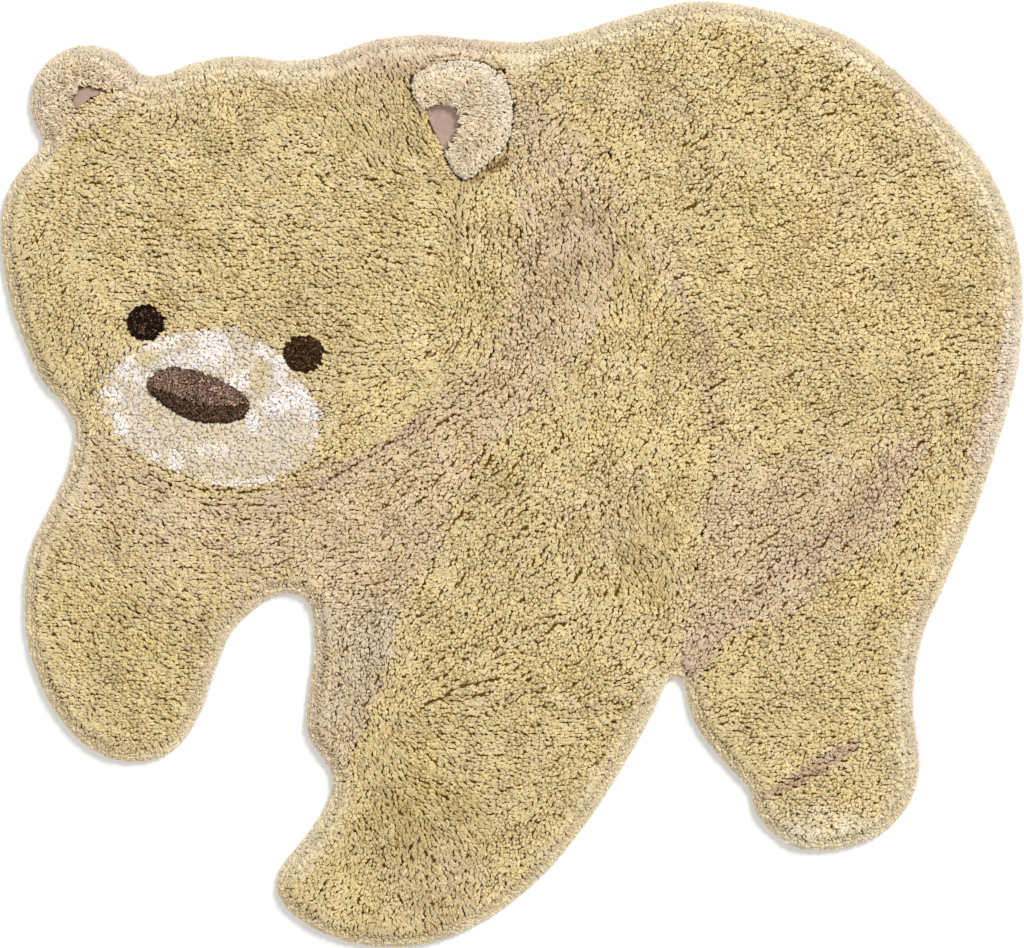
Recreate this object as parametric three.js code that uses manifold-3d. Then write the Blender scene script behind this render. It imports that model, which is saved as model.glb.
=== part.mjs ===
// A tufted cotton rug for a child's room, in the shape of a walking bear, lying flat on the floor.
// Millimetres. +X runs from the head to the tail, +Y from the feet to the back, +Z up off the floor.
// The origin is on the floor, under the middle of the rug.
import * as THREE from "three";
import { mergeVertices } from "three/addons/utils/BufferGeometryUtils.js";
import Module from "manifold-3d";

const wasm = await Module();
wasm.setup();

// Driving dimensions
const seatGap = 0.3; // between any two pieces that touch
const clothThickness = 2.5; // the canvas that all the pile is tufted into
const clothSetback = 12; // how far the canvas stops short of the pile's rim
const pileHeight = 20; // top of the pile above the floor
const pileLumps = { pitch: 48, height: 2.4 }; // how the pile's top wanders up and down
const pileLocks = { pitch: 28, depth: 3.5 }; // the pile fans out at the rim in locks, parted by clefts
const bendReach = 30; // locks point away from the outline as it runs over this distance each way
const earHeight = 25; // the near ear is made apart and stands proud of the pile
const earLumps = { pitch: 18, height: 2.4 };
const earLocks = { pitch: 20, depth: 2.5 };
const patchSeat = 12; // both ears are shorn down to here under their cloth patch
const patchThickness = 2;
const patchEase = 0.8; // how far in a top edge starts to roll over
const eyeEase = 6;
const noseEase = 5;
const faceRise = 1.5; // nose and eyes are packed denser and stand this much proud
const outlineStep = 9; // sampling of each kind of line
const clothStep = 34;
const seamStep = 22;
const noseStep = 12;
const fineStep = 8;
const below = -5; // cutters start and end well clear of the pile
const above = 40;
const clear = { left: -720, right: 720, low: -680, high: 680 }; // well outside the rug on each side

// The rim, section by section from the floor up: how far in from the outline it lies, and the share of
// the clefts' depth that shows there
const rimSections = [
  { z: 0, inset: 2.5, cleft: 1 },
  { z: 5, inset: -1.2, cleft: 1 },
  { z: 14, inset: 7, cleft: 0.7 },
  { z: pileHeight + 4, inset: 27, cleft: 0.2 },
];
const earSections = [
  { z: clothThickness + seatGap, inset: 1.5, cleft: 0.3 },
  { z: 17, inset: 0, cleft: 1 },
  { z: earHeight - 3, inset: 3, cleft: 0.8 },
  { z: earHeight + 4, inset: 15, cleft: 0.2 },
];

// How a lump or a lock strays from its even place, in pitches
const sway = { lump: 0.45, cleft: 0.3, tip: 0.2 };

// Long slow waves in the pile's top: their share of the lumps' height, and their lengths
const swell = { share: 0.6, eastX: 61, eastY: 97, northX: 131, northY: 53 };

// How a top edge eases over, from the wall in: shares of the ease, inwards and down from the top
const easing = [
  { inset: 0, drop: 0.6 },
  { inset: 0.4, drop: 0.2 },
  { inset: 1, drop: 0 },
];

// How two areas of pile part from each other: half the width of the V between them, and where it starts
const partings = {
  snug: { half: 1.2, from: 16 },
  soft: { half: 2, from: 14 },
  carved: { half: 5, from: 7 },
};

// The outline, one stretch for each part of the animal, anticlockwise. Stretches meet in a corner.
const farEar = { x: -539, y: 472, radius: 73, from: 27, to: 226 }; // an arc, in degrees
const outlineStretches = {
  cheek: [
    [-587, 421],
    [-627, 382],
    [-647, 335],
    [-648, 285],
    [-638, 225],
    [-615, 157],
    [-593, 112],
    [-565, 85],
    [-553, 56],
  ],
  farForeleg: [
    [-553, 56],
    [-560, 15],
    [-582, -35],
    [-611, -96],
    [-619, -160],
    [-611, -232],
    [-578, -305],
    [-528, -354],
    [-476, -366],
    [-432, -353],
    [-399, -310],
    [-374, -240],
    [-354, -197],
    [-325, -169],
    [-297, -152],
    [-272, -152],
    [-258, -161],
    [-252, -180],
  ],
  innerLeg: [
    [-252, -180],
    [-251, -225],
    [-259, -287],
    [-261, -330],
    [-242, -359],
    [-224, -386],
  ],
  nearForeleg: [
    [-224, -386],
    [-235, -420],
    [-268, -469],
    [-295, -501],
    [-298, -535],
    [-265, -569],
    [-212, -593],
    [-149, -601],
    [-85, -590],
    [-20, -557],
    [46, -502],
    [101, -433],
    [148, -359],
    [180, -300],
    [198, -257],
  ],
  groin: [
    [198, -257],
    [207, -251],
    [217, -258],
    [221, -280],
  ],
  hindLegFront: [
    [221, -280],
    [232, -317],
    [267, -363],
    [309, -405],
  ],
  ankle: [
    [309, -405],
    [304, -420],
    [321, -447],
  ],
  hindPaw: [
    [321, -447],
    [359, -475],
    [410, -477],
    [467, -458],
    [506, -415],
    [517, -361],
    [509, -312],
  ],
  hindLegBack: [
    [509, -312],
    [510, -259],
    [522, -202],
    [550, -138],
    [590, -41],
    [611, 20],
  ],
  rump: [
    [611, 20],
    [640, 124],
    [648, 198],
    [639, 303],
    [600, 393],
    [527, 474],
    [435, 551],
    [359, 580],
    [283, 597],
    [220, 599],
    [143, 580],
    [80, 560],
    [17, 547],
  ],
  nape: [
    [17, 547],
    [-50, 552],
    [-110, 557],
    [-176, 551],
    [-237, 530],
    [-288, 523],
  ],
  brow: [
    [-288, 523],
    [-345, 531],
    [-406, 521],
    [-447, 505],
    [-474, 505],
  ],
};

// Lines inside the outline along which one area of pile stops and the next begins
const farEarBase = [
  [-458, 522],
  [-476, 504],
  [-490, 490],
  [-512, 483],
  [-538, 475],
  [-553, 455],
  [-566, 442],
  [-589, 420],
  [-622, 411],
];
const jaw = [
  [-590, 76],
  [-552, 62],
  [-513, 48],
  [-461, 6],
  [-405, -27],
  [-329, -28],
  [-256, 4],
  [-184, 28],
  [-125, 68],
  [-72, 100],
  [-34, 140],
  [-8, 190],
  [9, 255],
  [8, 335],
  [-9, 399],
];
const napeEdge = [
  [-100, 500],
  [-142, 503],
  [-206, 512],
  [-270, 520],
  [-300, 545],
];
const chestEdge = [
  [-590, 22],
  [-545, -10],
  [-490, -45],
  [-430, -95],
  [-360, -135],
  [-315, -156],
  [-301, -178],
];
const neckLine = [
  [-60, 575],
  [-27, 528],
  [15, 482],
  [69, 428],
  [100, 382],
  [124, 330],
  [134, 280],
  [121, 207],
  [86, 157],
  [36, 94],
  [-22, 40],
  [-62, -20],
  [-91, -90],
  [-117, -130],
  [-140, -164],
];
const innerLegTop = [
  [-275, -172],
  [-256, -156],
  [-217, -150],
  [-178, -154],
  [-140, -164],
];
const innerLegSide = [
  [-140, -164],
  [-156, -226],
  [-176, -300],
  [-205, -355],
  [-222, -383],
  [-245, -393],
];
const shoulderLine = [
  [69, 428],
  [112, 416],
  [175, 319],
  [227, 246],
  [246, 190],
  [248, 130],
  [255, 60],
  [249, -20],
  [240, -90],
  [226, -160],
  [218, -210],
  [214, -245],
  [208, -275],
];
const bellyTop = [
  [255, 60],
  [315, 25],
  [391, 24],
  [467, 35],
  [541, 62],
];
const thighLine = [
  [541, 62],
  [520, 22],
  [503, -14],
  [486, -48],
  [466, -90],
  [435, -112],
  [390, -142],
  [358, -178],
  [310, -190],
  [270, -212],
  [250, -246],
  [223, -268],
  [206, -284],
];
const tailEdge = [
  [670, 250],
  [636, 222],
  [621, 184],
  [616, 145],
  [612, 103],
  [590, 58],
  [576, 24],
  [600, 12],
  [660, 8],
];
const ankleTop = [
  [285, -412],
  [312, -405],
  [340, -392],
  [375, -367],
  [411, -344],
  [442, -334],
];
const ankleBottom = [
  [442, -334],
  [446, -342],
  [416, -362],
  [378, -388],
  [335, -408],
  [312, -415],
  [285, -416],
];

// Closed shapes set into the pile
const muzzleShape = [
  [-523, 96],
  [-497, 141],
  [-441, 174],
  [-378, 182],
  [-317, 168],
  [-272, 128],
  [-245, 77],
  [-252, 28],
  [-285, -3],
  [-350, -17],
  [-418, -1],
  [-485, 36],
];
const noseShape = [
  [-463, 112],
  [-451, 129],
  [-430, 135],
  [-376, 122],
  [-345, 105],
  [-331, 84],
  [-345, 68],
  [-385, 64],
  [-415, 71],
  [-450, 94],
];
const noseRidge = [
  [-480, 116],
  [-460, 110],
  [-430, 102],
  [-405, 90],
  [-376, 86],
  [-347, 87],
  [-315, 92],
];
const nearEarShape = [
  [-129, 500],
  [-108, 516],
  [-70, 524],
  [-36, 521],
  [-14, 507],
  [0, 480],
  [1, 445],
  [-7, 414],
  [-28, 396],
  [-46, 376],
  [-60, 370],
  [-73, 378],
  [-84, 402],
  [-98, 432],
  [-110, 458],
  [-122, 470],
];
const nearPatchShape = [
  [-112, 458],
  [-93, 468],
  [-73, 465],
  [-66, 452],
  [-70, 431],
  [-87, 409],
  [-103, 434],
];
const farPatchShape = [
  [-556, 478],
  [-541, 491],
  [-527, 487],
  [-511, 484],
  [-531, 473],
  [-549, 461],
  [-557, 467],
];
const eyes = {
  left_eye_pile: { x: -464, y: 191, radiusX: 24.5, radiusY: 22.8 },
  right_eye_pile: { x: -264, y: 152, radiusX: 26, radiusY: 23.5 },
};

// Yarn and cloth colours
const honey = 0xcbb586;
const honeyShade = 0xc6b082;
const honeyPaw = 0xc0ac7a;
const taupe = 0xc4ae88;
const pinkTaupe = 0xc3ae91;
const cream = 0xd1bfa1;
const colours = {
  ground_cloth: 0xe0d6c2,
  far_ear_pile: 0xcfbc9c,
  near_ear_pile: cream,
  far_ear_patch: 0xae917f,
  near_ear_patch: 0xb69a8b,
  head_pile: honey,
  neck_pile: taupe,
  far_foreleg_pile: honeyShade,
  inner_leg_pile: pinkTaupe,
  near_foreleg_pile: honeyPaw,
  back_pile: honey,
  belly_pile: pinkTaupe,
  hind_leg_pile: honeyShade,
  ankle_pile: pinkTaupe,
  tail_pile: 0xd1c1ae,
  muzzle_pile: 0xdaccb4,
  nose_top_pile: 0x7c6556,
  nose_base_pile: 0x5a4639,
  left_eye_pile: 0x2d1e16,
  right_eye_pile: 0x3b2a1e,
};
const pileRoughness = 0.95;
const clothRoughness = 0.85;

// A number from 0 to 1 that belongs to a place, so that every run gives the same rug
function chance(i, j) {
  const wave = Math.sin(i * 127.1 + j * 311.7) * 43758.5453;
  return wave - Math.floor(wave);
}

// A smooth line through its points, sampled about every step
function smoothLine(points, step, closed = false) {
  const through = points.map(([x, y]) => new THREE.Vector3(x, y, 0));
  const spline = new THREE.CatmullRomCurve3(through, closed, "centripetal");
  const count = Math.max(points.length, Math.round(spline.getLength() / step));
  return spline.getSpacedPoints(count).map((p) => new THREE.Vector2(p.x, p.y));
}

function arcLine({ x, y, radius, from, to }, step) {
  const arc = new THREE.EllipseCurve(
    x,
    y,
    radius,
    radius,
    THREE.MathUtils.degToRad(from),
    THREE.MathUtils.degToRad(to),
  );
  return arc.getSpacedPoints(Math.round(arc.getLength() / step));
}

function ellipseLoop({ x, y, radiusX, radiusY }, step) {
  const ellipse = new THREE.EllipseCurve(x, y, radiusX, radiusY, 0, Math.PI * 2);
  return ellipse.getSpacedPoints(Math.round(ellipse.getLength() / step)).slice(0, -1);
}

// Joins lines end to end in an anticlockwise loop, and drops a point that repeats the one before it
function joinLines(...lines) {
  const all = lines.flat();
  const tooNear = 0.5;
  const loop = all.filter((p, i) => p.distanceTo(all[(i + all.length - 1) % all.length]) > tooNear);
  return THREE.ShapeUtils.isClockWise(loop) ? loop.reverse() : loop;
}

// Walks a closed loop: at(s) gives the point that lies s along it
function walker(loop) {
  const ends = [0];
  loop.forEach((p, i) => ends.push(ends[i] + p.distanceTo(loop[(i + 1) % loop.length])));
  const length = ends[loop.length];
  const at = (s) => {
    const place = ((s % length) + length) % length;
    let i = ends.findIndex((end) => end > place) - 1;
    if (i < 0) i = loop.length - 1;
    const share = (place - ends[i]) / (ends[i + 1] - ends[i]);
    return loop[i].clone().lerp(loop[(i + 1) % loop.length], share);
  };
  return { length, at };
}

// The direction away from the solid at s, taken from how the line runs over some way each side
function outward(walk, s, reach) {
  const run = walk.at(s + reach).sub(walk.at(s - reach));
  return new THREE.Vector2(run.y, -run.x).normalize();
}

// A loop moved outwards by some distance, with its corners kept
function grown(loop, distance) {
  const sharpest = 0.45;
  return loop.map((p, i) => {
    const before = p.clone().sub(loop[(i + loop.length - 1) % loop.length]).normalize();
    const after = loop[(i + 1) % loop.length].clone().sub(p).normalize();
    const away = new THREE.Vector2(before.y + after.y, -before.x - after.x);
    if (away.length() < 1e-6) return p.clone();
    away.normalize();
    const slant = Math.max(sharpest, away.x * before.y - away.y * before.x);
    return p.clone().addScaledVector(away, distance / slant);
  });
}

// A closed body through rings of equal length, listed from the bottom up, each anticlockwise
function loft(rings) {
  const size = rings[0].line.length;
  const positions = rings.flatMap(({ line, z }) => line.flatMap((p) => [p.x, p.y, z]));
  const faces = [];
  for (let k = 0; k + 1 < rings.length; k += 1) {
    for (let i = 0; i < size; i += 1) {
      const a = k * size + i;
      const b = k * size + ((i + 1) % size);
      faces.push(a, b, b + size, a, b + size, a + size);
    }
  }
  const last = (rings.length - 1) * size;
  for (const [a, b, c] of THREE.ShapeUtils.triangulateShape(rings[0].line, [])) {
    faces.push(a, c, b);
  }
  for (const [a, b, c] of THREE.ShapeUtils.triangulateShape(rings.at(-1).line, [])) {
    faces.push(last + a, last + b, last + c);
  }
  const geometry = new THREE.BufferGeometry();
  geometry.setAttribute("position", new THREE.Float32BufferAttribute(positions, 3));
  geometry.setIndex(faces);
  return geometry;
}

function toSolid(geometry) {
  const bare = geometry.clone();
  bare.deleteAttribute("normal");
  bare.deleteAttribute("uv");
  const merged = mergeVertices(bare, 1e-4);
  return new wasm.Manifold(
    new wasm.Mesh({
      numProp: 3,
      vertProperties: new Float32Array(merged.attributes.position.array),
      triVerts: new Uint32Array(merged.index.array),
    }),
  );
}

function toGeometry(solid) {
  const { vertProperties, triVerts, numProp } = solid.getMesh();
  const positions = [];
  for (let i = 0; i < vertProperties.length; i += numProp) {
    positions.push(vertProperties[i], vertProperties[i + 1], vertProperties[i + 2]);
  }
  const geometry = new THREE.BufferGeometry();
  geometry.setAttribute("position", new THREE.Float32BufferAttribute(positions, 3));
  geometry.setIndex([...triVerts]);
  geometry.computeVertexNormals();
  return geometry;
}

const prism = (loop, low, high) => toSolid(loft([{ line: loop, z: low }, { line: loop, z: high }]));

// The pile's rim: locks side by side, each a tip between two clefts, rolling over from top to floor
function lockedRim(loop, sections, { pitch, depth }) {
  const walk = walker(loop);
  const locks = Math.round(walk.length / pitch);
  const reach = Math.min(bendReach, walk.length / 8);
  const places = [];
  for (let i = 0; i < locks; i += 1) {
    const cleft = i + (chance(i, 1) - 0.5) * sway.cleft;
    const tip = i + 0.5 + (chance(i, 2) - 0.5) * sway.tip;
    places.push({ s: (cleft * walk.length) / locks, cleft: 1 });
    places.push({ s: (tip * walk.length) / locks, cleft: 0 });
  }
  const feet = places.map(({ s }) => walk.at(s));
  const ways = places.map(({ s }) => outward(walk, s, reach));
  const rings = sections.map(({ z, inset, cleft }) => ({
    z,
    line: feet.map((foot, i) =>
      foot.clone().addScaledVector(ways[i], -inset - places[i].cleft * cleft * depth),
    ),
  }));
  return toSolid(loft(rings));
}

// A block that covers a loop, with a top that wanders up and down about a height
function lumpyBlock(loop, top, { pitch, height }) {
  const box = new THREE.Box2().setFromPoints(loop).expandByScalar(pitch / 2);
  const middle = box.getCenter(new THREE.Vector2());
  const size = box.getSize(new THREE.Vector2());
  const columns = Math.round(size.x / pitch);
  const rows = Math.round(size.y / pitch);
  const block = new THREE.BoxGeometry(size.x, size.y, 1, columns, rows, 1);
  const spots = block.attributes.position;
  for (let i = 0; i < spots.count; i += 1) {
    const column = Math.round((spots.getX(i) / size.x + 0.5) * columns);
    const row = Math.round((spots.getY(i) / size.y + 0.5) * rows);
    const side = column === 0 || row === 0 || column === columns || row === rows;
    const stray = side ? 0 : pitch * sway.lump;
    const x = middle.x + spots.getX(i) + (chance(column, row + 9) - 0.5) * stray;
    const y = middle.y + spots.getY(i) + (chance(column + 9, row) - 0.5) * stray;
    const east = Math.sin(x / swell.eastX + y / swell.eastY);
    const north = Math.cos(y / swell.northY - x / swell.northX);
    const lump = height * (swell.share * east * north + chance(column, row) - 0.5);
    spots.setXYZ(i, x, y, spots.getZ(i) > 0 ? top + lump : below);
  }
  return toSolid(block);
}

// What a piece of pile takes from the rug around it: straight below, then opening upwards into a V
function partingCutter(loop, { half, from }) {
  const lineBelow = grown(loop, seatGap / 2);
  return toSolid(
    loft([
      { line: lineBelow, z: below },
      { line: lineBelow, z: from },
      { line: grown(loop, half), z: pileHeight + 2 * pileLumps.height },
    ]),
  );
}

// A small closed shape of pile or cloth with an eased top edge
function easedPad(loop, low, high, ease) {
  const eased = easing.map(({ inset, drop }) => ({
    line: grown(loop, -seatGap / 2 - ease * inset),
    z: high - ease * drop,
  }));
  return loft([{ line: eased[0].line, z: low }, ...eased]);
}

// Outline, canvas, and the whole slab of pile
const outline = joinLines(
  arcLine(farEar, outlineStep),
  ...Object.values(outlineStretches).map((points) => smoothLine(points, outlineStep)),
);
const outlineWalk = walker(outline);
function clothEdge(setback) {
  const count = Math.round(outlineWalk.length / clothStep);
  const step = outlineWalk.length / count;
  return Array.from({ length: count }, (_, i) =>
    outlineWalk.at(i * step).addScaledVector(outward(outlineWalk, i * step, bendReach), -setback),
  );
}
const clothTop = clothThickness + seatGap;
const slab = lockedRim(outline, rimSections, pileLocks)
  .intersect(lumpyBlock(outline, pileHeight, pileLumps))
  .subtract(prism(clothEdge(clothSetback - seatGap), below, clothTop));

const group = new THREE.Group();
function addPiece(name, geometry) {
  const roughness = /patch|cloth/.test(name) ? clothRoughness : pileRoughness;
  const material = new THREE.MeshStandardMaterial({ color: colours[name], roughness, metalness: 0 });
  const mesh = new THREE.Mesh(geometry, material);
  mesh.name = name;
  group.add(mesh);
}

const clothLine = clothEdge(clothSetback);
addPiece("ground_cloth", loft([{ line: clothLine, z: 0 }, { line: clothLine, z: clothThickness }]));

// Each area of pile is lifted out of the slab in turn, and the V around it is cut from what is left
const outside = (...corners) => corners.map(([x, y]) => new THREE.Vector2(x, y));
const seam = (points) => smoothLine(points, seamStep);
const closedShape = (points, step) => joinLines(smoothLine(points, step, true));
let remaining = slab;
const within = (solid, loop) => solid.intersect(prism(grown(loop, -seatGap / 2), below, above));
function takeArea(name, loop, parting) {
  addPiece(name, toGeometry(within(remaining, loop)));
  remaining = remaining.subtract(partingCutter(loop, partings[parting]));
}

// A cloth patch sits in a shorn bed of its ear, and ends where the ear ends
const patchLow = patchSeat + seatGap;
const patchHigh = patchLow + patchThickness;
function addEar(side, ear, earLoop, patchShape) {
  const patchLoop = closedShape(patchShape, fineStep);
  const bed = prism(grown(patchLoop, seatGap / 2), patchSeat, above);
  const pad = toSolid(easedPad(patchLoop, patchLow, patchHigh, patchEase));
  addPiece(`${side}_ear_pile`, toGeometry(ear.subtract(bed)));
  addPiece(`${side}_ear_patch`, toGeometry(within(pad, earLoop)));
}

// The near ear is a separate piece with its own locked rim, and the far ear is part of the slab
const nearEarLoop = closedShape(nearEarShape, fineStep);
const nearEar = lockedRim(nearEarLoop, earSections, earLocks).intersect(
  lumpyBlock(nearEarLoop, earHeight, earLumps),
);
addEar("near", nearEar, nearEarLoop, nearPatchShape);
remaining = remaining.subtract(partingCutter(grown(nearEarLoop, seatGap / 2), partings.snug));
const farEarLoop = joinLines(
  seam(farEarBase),
  outside([clear.left, 411], [clear.left, clear.high], [-458, clear.high]),
);
addEar("far", within(remaining, farEarLoop), farEarLoop, farPatchShape);
remaining = remaining.subtract(partingCutter(farEarLoop, partings.carved));

// Face
const faceTop = pileHeight + faceRise;
for (const [name, eye] of Object.entries(eyes)) {
  const loop = joinLines(ellipseLoop(eye, fineStep));
  addPiece(name, easedPad(loop, clothTop, faceTop, eyeEase));
  remaining = remaining.subtract(partingCutter(loop, partings.snug));
}
const noseLoop = closedShape(noseShape, noseStep);
const nose = toSolid(easedPad(noseLoop, clothTop, faceTop, noseEase));
const noseUpper = joinLines(seam(noseRidge), outside([-315, clear.high], [-480, clear.high]));
addPiece("nose_top_pile", toGeometry(within(nose, noseUpper)));
addPiece("nose_base_pile", toGeometry(nose.subtract(partingCutter(noseUpper, partings.snug))));
remaining = remaining.subtract(partingCutter(noseLoop, partings.snug));
takeArea("muzzle_pile", closedShape(muzzleShape, seamStep), "soft");

// Body, in the order in which one area laps over the next. A loop runs on past the rug's edges, or into an
// area that is lifted out before it.
const shoulderSeam = seam(shoulderLine);
const besideBelly = shoulderSeam.filter((p) => p.y < bellyTop[0][1]);
const areas = [
  {
    name: "head_pile",
    parting: "soft",
    lines: [
      seam(jaw),
      seam(napeEdge),
      outside([-300, clear.high], [clear.left, clear.high], [clear.left, 76]),
    ],
  },
  {
    name: "inner_leg_pile",
    parting: "carved",
    lines: [seam(innerLegTop), seam(innerLegSide), outside([-290, -400], [-290, -172])],
  },
  {
    name: "far_foreleg_pile",
    parting: "soft",
    lines: [
      seam(chestEdge),
      outside([-317, -388], [-317, clear.low], [clear.left, clear.low], [clear.left, 22]),
    ],
  },
  {
    name: "neck_pile",
    parting: "carved",
    lines: [
      seam(neckLine),
      outside([-170, -185], [-260, -220], [clear.left, -220]),
      outside([clear.left, clear.high], [-60, clear.high]),
    ],
  },
  {
    name: "tail_pile",
    parting: "soft",
    lines: [seam(tailEdge), outside([clear.right, 8], [clear.right, 250])],
  },
  {
    name: "ankle_pile",
    parting: "soft",
    lines: [seam(ankleTop), seam(ankleBottom)],
  },
  {
    name: "belly_pile",
    parting: "carved",
    lines: [seam(bellyTop), seam(thighLine), besideBelly.reverse()],
  },
  {
    name: "near_foreleg_pile",
    parting: "carved",
    lines: [
      shoulderSeam,
      outside([208, clear.low], [clear.left, clear.low], [clear.left, 300], [20, 400]),
    ],
  },
  {
    name: "hind_leg_pile",
    parting: "soft",
    lines: [
      outside([clear.right, 20], [600, 20], [576, 24]),
      seam(thighLine),
      outside([206, clear.low], [clear.right, clear.low]),
    ],
  },
];
for (const { name, parting, lines } of areas) takeArea(name, joinLines(...lines), parting);
addPiece("back_pile", toGeometry(remaining));

// The origin goes under the middle of the rug
const extent = new THREE.Box3().setFromObject(group);
group.position.x = -(extent.min.x + extent.max.x) / 2;
group.position.y = -(extent.min.y + extent.max.y) / 2;

export default group;
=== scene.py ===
import math

import bmesh
import bpy
import numpy as np
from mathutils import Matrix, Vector
from mathutils.bvhtree import BVHTree
from mathutils.kdtree import KDTree


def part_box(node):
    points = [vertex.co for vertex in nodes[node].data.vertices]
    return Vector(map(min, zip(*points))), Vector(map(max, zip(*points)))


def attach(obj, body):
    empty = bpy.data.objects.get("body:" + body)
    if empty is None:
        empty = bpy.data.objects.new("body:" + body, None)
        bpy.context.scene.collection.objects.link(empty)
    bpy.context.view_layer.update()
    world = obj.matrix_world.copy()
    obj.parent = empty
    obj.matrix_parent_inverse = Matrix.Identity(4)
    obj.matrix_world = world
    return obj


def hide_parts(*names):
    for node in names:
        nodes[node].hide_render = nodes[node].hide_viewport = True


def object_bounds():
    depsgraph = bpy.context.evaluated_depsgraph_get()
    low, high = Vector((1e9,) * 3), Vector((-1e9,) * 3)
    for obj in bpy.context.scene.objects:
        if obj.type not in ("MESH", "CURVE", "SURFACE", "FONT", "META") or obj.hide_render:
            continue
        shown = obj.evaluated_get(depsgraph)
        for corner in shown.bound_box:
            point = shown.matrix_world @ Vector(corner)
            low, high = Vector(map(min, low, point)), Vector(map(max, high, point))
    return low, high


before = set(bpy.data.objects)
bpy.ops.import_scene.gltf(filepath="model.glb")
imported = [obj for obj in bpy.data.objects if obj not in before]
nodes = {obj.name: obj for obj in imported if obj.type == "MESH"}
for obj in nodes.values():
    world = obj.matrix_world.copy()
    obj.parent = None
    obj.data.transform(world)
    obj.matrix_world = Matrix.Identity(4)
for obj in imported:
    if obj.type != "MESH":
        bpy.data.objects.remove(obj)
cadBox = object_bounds()
scene = bpy.context.scene
print("frame loaded:", len(nodes), "nodes")


def placed(name, data):
    thing = bpy.data.objects.new(name, data)
    scene.collection.objects.link(thing)
    return thing


# A long lens straight above the rug
view = {"wide": 1.3, "sensor": 36, "height": 5.0, "x": 0.0006, "y": 0.0003, "sharp": 0.005}
camera = placed("camera", bpy.data.cameras.new("camera"))
camera.location = (view["x"], view["y"], view["height"])
camera.data.sensor_width = view["sensor"]
camera.data.lens = view["sensor"] * (view["height"] - view["sharp"]) / view["wide"]
camera.data.clip_end = 100
scene.camera = camera
print("camera set")


def srgb(red, green, blue):
    # 0 to 255 as on a colour card, to the linear values that shaders use
    shade = (red / 255, green / 255, blue / 255)
    return tuple(((c + 0.055) / 1.055) ** 2.4 if c > 0.04045 else c / 12.92 for c in shade)


def table(columns, rows):
    # Rows as dictionaries with named columns, with mm turned to metres. A row may leave out its last ones.
    made = []
    for row in rows:
        made.append({})
        for column, value in zip(columns.split(), row):
            if column.endswith("/mm"):
                value = (np.array(value) / 1000).tolist()
            made[-1][column.removesuffix("/mm")] = value
    return made


def smooth(t):
    t = np.clip(t, 0, 1)
    return t * t * (3 - 2 * t)


def drift(x, y, size, seed):
    # Wanders smoothly between -1 and 1 over about size metres
    rng = np.random.default_rng(seed)
    knots = 256
    values = rng.uniform(-1, 1, (knots, knots))
    turn = rng.uniform(0, math.tau)
    u = (x * math.cos(turn) - y * math.sin(turn)) / size + rng.uniform(0, knots)
    v = (x * math.sin(turn) + y * math.cos(turn)) / size + rng.uniform(0, knots)
    i, j = np.floor(u).astype(int), np.floor(v).astype(int)
    fu, fv = smooth(u - i), smooth(v - j)
    i, j, ii, jj = i % knots, j % knots, (i + 1) % knots, (j + 1) % knots
    low = values[i, j] * (1 - fu) + values[ii, j] * fu
    high = values[i, jj] * (1 - fu) + values[ii, jj] * fu
    return low * (1 - fv) + high * fv


def drifts(x, y, strength, *layers):
    return sum(strength * drift(x, y, size, seed) for size, seed in layers)


def heading(angle):
    return np.stack([np.cos(angle), np.sin(angle)], 1)


def leftOf(way):
    return np.stack([-way[:, 1], way[:, 0]], 1)


def unit(vectors):
    return vectors / np.maximum(np.linalg.norm(vectors, axis=-1, keepdims=True), 1e-9)


def solidCopy(name):
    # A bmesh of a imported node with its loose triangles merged
    bm = bmesh.new()
    bm.from_mesh(nodes[name].data)
    bmesh.ops.remove_doubles(bm, verts=bm.verts, dist=1e-6)
    return bm


def addPiece(mesh, name, replaced, material):
    piece = placed(name, mesh)
    mesh.materials.append(material)
    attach(piece, "root")
    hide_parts(*replaced)
    return piece


def meshOf(bm, name):
    mesh = bpy.data.meshes.new(name)
    bm.to_mesh(mesh)
    bm.free()
    return mesh


def farFrom(x, y, way):
    # How far each point is from a line of waypoints
    way = np.array(way, float)
    far = np.hypot(x - way[0, 0], y - way[0, 1])
    for start, end in zip(way[:-1], way[1:]):
        leg = end - start
        share = (((x - start[0]) * leg[0] + (y - start[1]) * leg[1]) / (leg @ leg)).clip(0, 1)
        far = np.minimum(far, np.hypot(x - start[0] - share * leg[0], y - start[1] - share * leg[1]))
    return far


def walked(way, start, step):
    # Places a step apart along a line, how far along each is, and how far along the line's own points are
    reached = np.concatenate([[0], np.cumsum(np.linalg.norm(np.diff(way, axis=0), axis=1))])
    at = np.arange(start, reached[-1], step)
    return np.interp(at, reached, way[:, 0]), np.interp(at, reached, way[:, 1]), at, reached


def treeOf(x, y):
    tree = KDTree(len(x))
    for i, (a, b) in enumerate(zip(x, y)):
        tree.insert((a, b, 0), i)
    tree.balance()
    return tree


def nearest(tree, x, y):
    found = [tree.find((a, b, 0)) for a, b in zip(x, y)]
    return np.array([f[1] for f in found], int), np.array([f[2] for f in found])


class Wire:
    # A node's output that can be used in a sum
    def __init__(self, graph, socket):
        self.graph = graph
        self.socket = socket

    def math(self, operation, *values):
        return self.graph.add("Math", {"operation": operation}, dict(enumerate(values)))

    def __add__(self, other):
        return self.math("ADD", self, other)

    def __sub__(self, other):
        return self.math("SUBTRACT", self, other)

    def __rsub__(self, other):
        return self.math("SUBTRACT", other, self)

    def __mul__(self, other):
        return self.math("MULTIPLY", self, other)

    def __pow__(self, other):
        return self.math("POWER", self, other)

    __radd__ = __add__
    __rmul__ = __mul__

    def clamped(self):
        return self.graph.add("Clamp", {}, {"Value": self})

    def sine(self):
        return self.math("SINE", self)


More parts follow.
